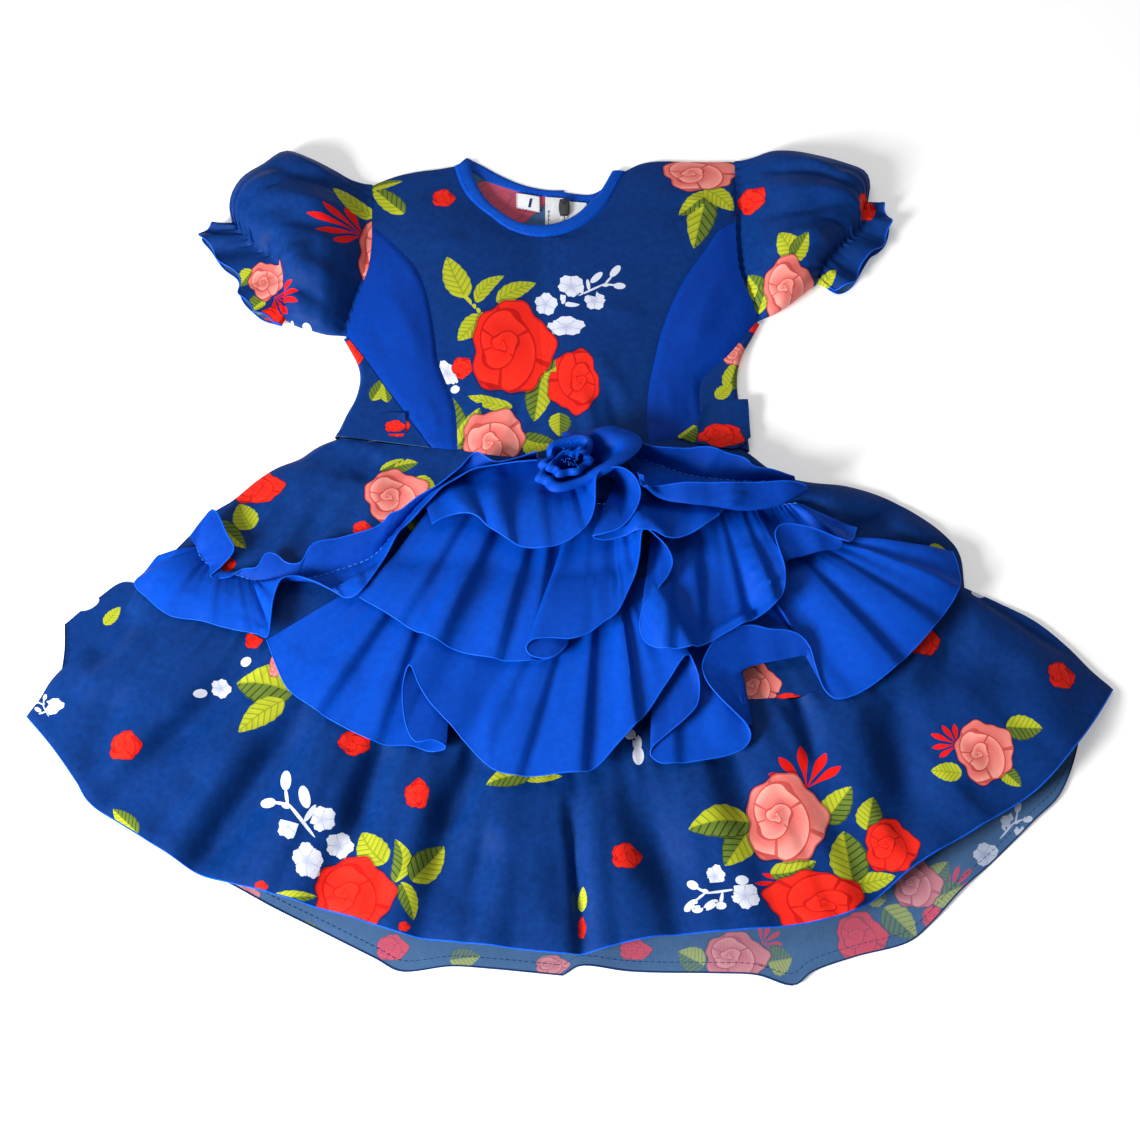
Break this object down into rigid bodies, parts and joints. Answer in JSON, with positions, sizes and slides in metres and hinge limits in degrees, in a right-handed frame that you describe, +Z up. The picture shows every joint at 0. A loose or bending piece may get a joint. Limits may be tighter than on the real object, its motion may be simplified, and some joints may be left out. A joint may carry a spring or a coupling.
{
  "type": "baby folk dress",
  "caption": "Flat-laid baby folk dress with puff sleeves, printed bodice and tiered skirt, blue side panels, gathered ruffles and a rolled rosette.",
  "frame": {"origin": "underside of the upper skirt's back, on the surface, just below the back waist seam", "axes": "+X across the dress to the viewer's right, +Y towards the neck, +Z up from the surface it lies on"},
  "size_m": [0.6513, 0.567, 0.0395],
  "materials": {
    "print_navy": "matt woven polyester, navy with a printed flower pattern",
    "royal_blue": "soft sheen woven polyester",
    "white_tape": "matt woven zip tape",
    "black_slider": "semi-gloss paint",
    "white_label": "smooth woven ribbon"
  },
  "bodies": {
    "root": {"front_centre_panel": "print_navy", "front_side_panel_left": "royal_blue", "front_side_panel_right": "royal_blue", "back_panel_left": "print_navy", "back_panel_right": "print_navy", "sleeve_left": "print_navy", "sleeve_right": "print_navy", "neck_binding_front": "royal_blue", "neck_binding_back_left": "royal_blue", "neck_binding_back_right": "royal_blue", "skirt_front": "print_navy", "skirt_back": "print_navy", "flounce_front": "print_navy", "flounce_back_left": "print_navy", "flounce_back_right": "print_navy", "ruffle_lower": "royal_blue", "ruffle_middle": "royal_blue", "frill_top": "royal_blue", "rosette": "royal_blue", "waist_tie_left": "print_navy", "waist_tie_right": "print_navy", "zip_tape_left": "white_tape", "zip_tape_right": "white_tape", "zip_slider": "black_slider", "size_label": "white_label"}
  },
  "joints": []
}
